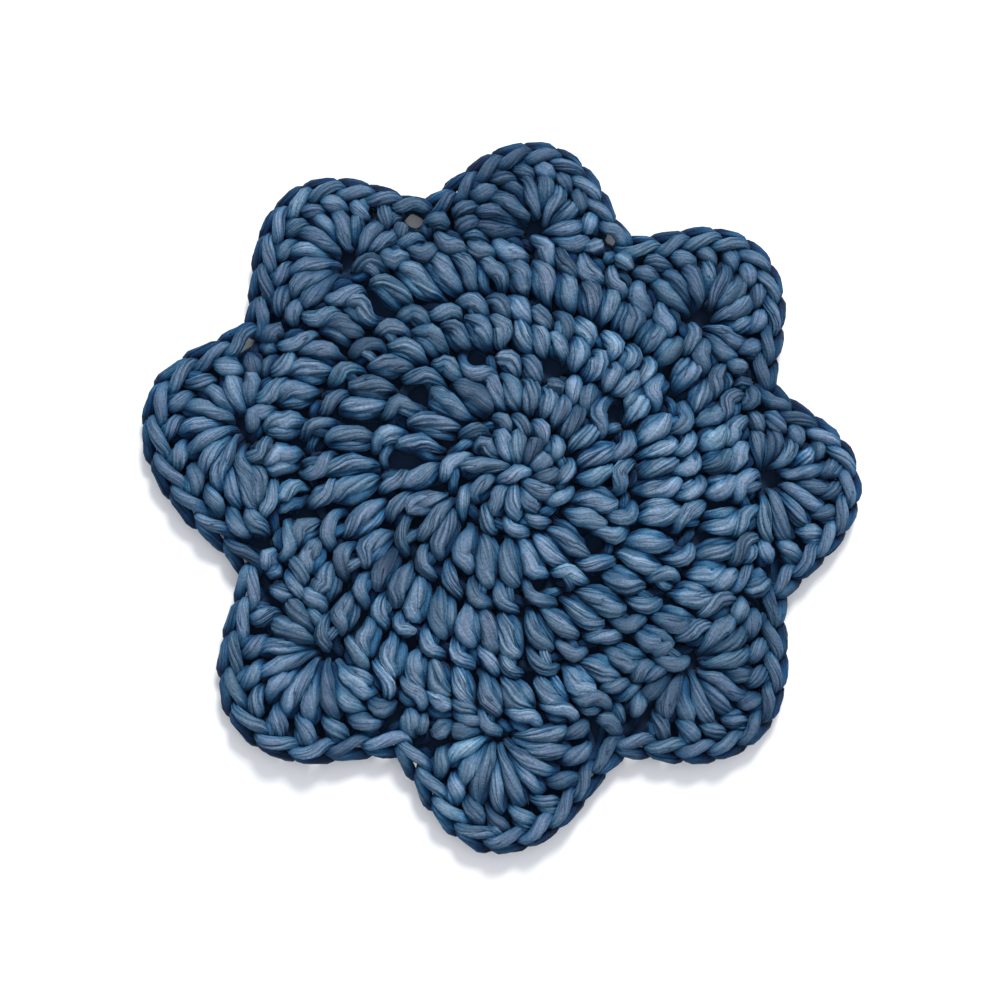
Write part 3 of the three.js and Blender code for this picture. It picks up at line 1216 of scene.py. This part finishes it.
# the mat rises and dips a little from stitch to stitch, and dips between rounds
lift = 1 + 0.10 * sway(x[:, 0], x[:, 1])
from_centre, around = np.hypot(x[:, 0], x[:, 1]), np.degrees(np.arctan2(x[:, 1], x[:, 0]))
for rnd, dip in ((1, 0.14), (2, 0.20), (3, 0.22), (4, 0.07)):
    dip = dip * (0.95 + 0.35 * np.cos(np.radians(around - 55)))
    lift -= dip * np.exp(-(((from_centre - line_radius(rnd, around) - 2.0) / 1.5) ** 2))
x[:, 2] = np.where(x[:, 2] > 1.5, 1.5 + (x[:, 2] - 1.5) * lift, x[:, 2])
x[:, 2] = np.minimum(x[:, 2], 6.5 - 0.9 * radius)

names = [name for name, _ in runs]
tubes = {}
for index, name in enumerate(names):
    at = run_of == index
    tubes[name] = tube(x[at] + np.array([CENTRE[0], CENTRE[1], 0.0]), radius[at], index * 0.7)
add_shade(list(tubes.values()))


def part_of(whole, low, high):
    """A stretch of a tube, from one share of its length to another."""
    n = len(whole["ring"])
    a, b = int(round(low * (n - 1))), int(round(high * (n - 1))) + 1
    return {key: np.ascontiguousarray(data[a:b]) for key, data in whole.items()}


blue = yarn_material()
PIECES = {
    "yarn_rounds_1_2": [("round_1", 0, 1), ("round_2", 0, 1)],
    "yarn_round_3": [("round_3", 0, 1)],
    "yarn_round_4_a": [("round_4", 0, 0.5)],
    "yarn_round_4_b": [("round_4", 0.5, 1)],
    "yarn_shells_a": [("shell_1", 0, 1), ("shell_2", 0, 1), ("shell_3", 0, 1)],
    "yarn_shells_b": [("shell_4", 0, 1), ("shell_5", 0, 1), ("shell_6", 0, 1)],
    "yarn_shells_c": [("shell_7", 0, 1), ("shell_8", 0, 1)],
}
total = 0
for piece_name, members in PIECES.items():
    made = mesh_from_runs(piece_name, [part_of(tubes[m], a, b) for m, a, b in members])
    made.data.materials.append(blue)
    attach(made, "root")
    triangles = sum((len(p.vertices) - 2) for p in made.data.polygons)
    total += triangles
    print(piece_name, triangles, "triangles")
print("all", total, "triangles")

# a dark sheet inside the stitches, under the yarn: painted shade that shows through the gaps between them
INSET = 5.0
degs = np.arange(0, 360, 2.0)
edge = outline(degs) - INSET
for spot_deg, spot, size in THROUGH:
    beside = np.abs((degs - spot_deg + 180) % 360 - 180) * math.radians(spot)
    edge = np.minimum(edge, spot - size - 0.8 + 2.0 * np.maximum(beside - 1.9, 0))
rings = [0.0, 0.25, 0.5, 0.75, 1.0]
verts = [(0, 0, 1.2)]
for share in rings[1:]:
    for d, r in zip(degs, edge):
        p = polar(r * share, d)
        verts.append((p[0], p[1], 1.2))
n = len(degs)
top_faces = [(0, 1 + k, 1 + (k + 1) % n) for k in range(n)]
for ring_index in range(len(rings) - 2):
    a, b = 1 + ring_index * n, 1 + (ring_index + 1) * n
    for k in range(n):
        k2 = (k + 1) % n
        top_faces.append((a + k, b + k, b + k2, a + k2))
m = len(verts)
all_verts = verts + [(vx, vy, vz - 0.5) for vx, vy, vz in verts]
faces = list(top_faces) + [tuple(m + v for v in reversed(f)) for f in top_faces]
b = 1 + (len(rings) - 2) * n
for k in range(n):
    k2 = (k + 1) % n
    faces.append((b + k2, b + k, m + b + k, m + b + k2))
mesh = bpy.data.meshes.new("painted_shade_sheet")
mesh.from_pydata(
    [((vx + CENTRE[0]) * MM, (vy + CENTRE[1]) * MM, vz * MM) for vx, vy, vz in all_verts],
    [],
    faces,
)
body = bpy.data.objects.new("painted_shade_sheet", mesh)
bpy.context.scene.collection.objects.link(body)
body.data.materials.append(plain_material("yarn_shadow", (0.0, 0.015, 0.050)))
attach(body, "root")
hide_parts("coaster")

# ---- floor, light, camera -------------------------------------------------

floor_mesh = bpy.data.meshes.new("floor")
floor_mesh.from_pydata([(-2, -2, 0), (2, -2, 0), (2, 2, 0), (-2, 2, 0)], [], [(0, 1, 2, 3)])
floor = bpy.data.objects.new("floor", floor_mesh)
bpy.context.scene.collection.objects.link(floor)
floor.location.z = -0.0001
floor.data.materials.append(plain_material("floor_white", (0.93, 0.93, 0.93), 0.8))

world = bpy.data.worlds.new("studio")
world.use_nodes = True
world.node_tree.nodes["Background"].inputs[0].default_value = (0.95, 0.98, 1.04, 1)
world.node_tree.nodes["Background"].inputs[1].default_value = 0.83
bpy.context.scene.world = world
bpy.context.scene.view_settings.view_transform = "Standard"


def area_light(name, where, size, power):
    data = bpy.data.lights.new(name, "AREA")
    data.shape = "DISK"
    data.size = size
    data.energy = power
    lamp = bpy.data.objects.new(name, data)
    bpy.context.scene.collection.objects.link(lamp)
    lamp.location = where
    lamp.rotation_euler = (-Vector(where)).to_track_quat("-Z", "Y").to_euler()


area_light("key", (0.12, 0.78, 0.66), 0.35, 12.5)

# the camera leans a little to the photo's lower left; 1000 px across
cam_data = bpy.data.cameras.new("camera")
camera = bpy.data.objects.new("camera", cam_data)
bpy.context.scene.collection.objects.link(camera)
bpy.context.scene.camera = camera
cam_data.sensor_width = 36
cam_data.lens = 70
cam_data.clip_start = 0.01
distance = MM * 140.2 * 1000 / VIEW_WIDTH * cam_data.lens / cam_data.sensor_width
lean_over = math.radians(VIEW_LEAN)
view_from = Vector((-0.72 * math.sin(lean_over), -0.69 * math.sin(lean_over), math.cos(lean_over)))
target = Vector((VIEW_AIM[0] * MM, VIEW_AIM[1] * MM, 0.003))
camera.location = target + distance * view_from
across = Vector((0, 1, 0)).cross(view_from).normalized()
upward = view_from.cross(across)
camera.rotation_euler = Matrix((across, upward, view_from)).transposed().to_euler()

print("built in", round(time.time() - STARTED, 1), "s")
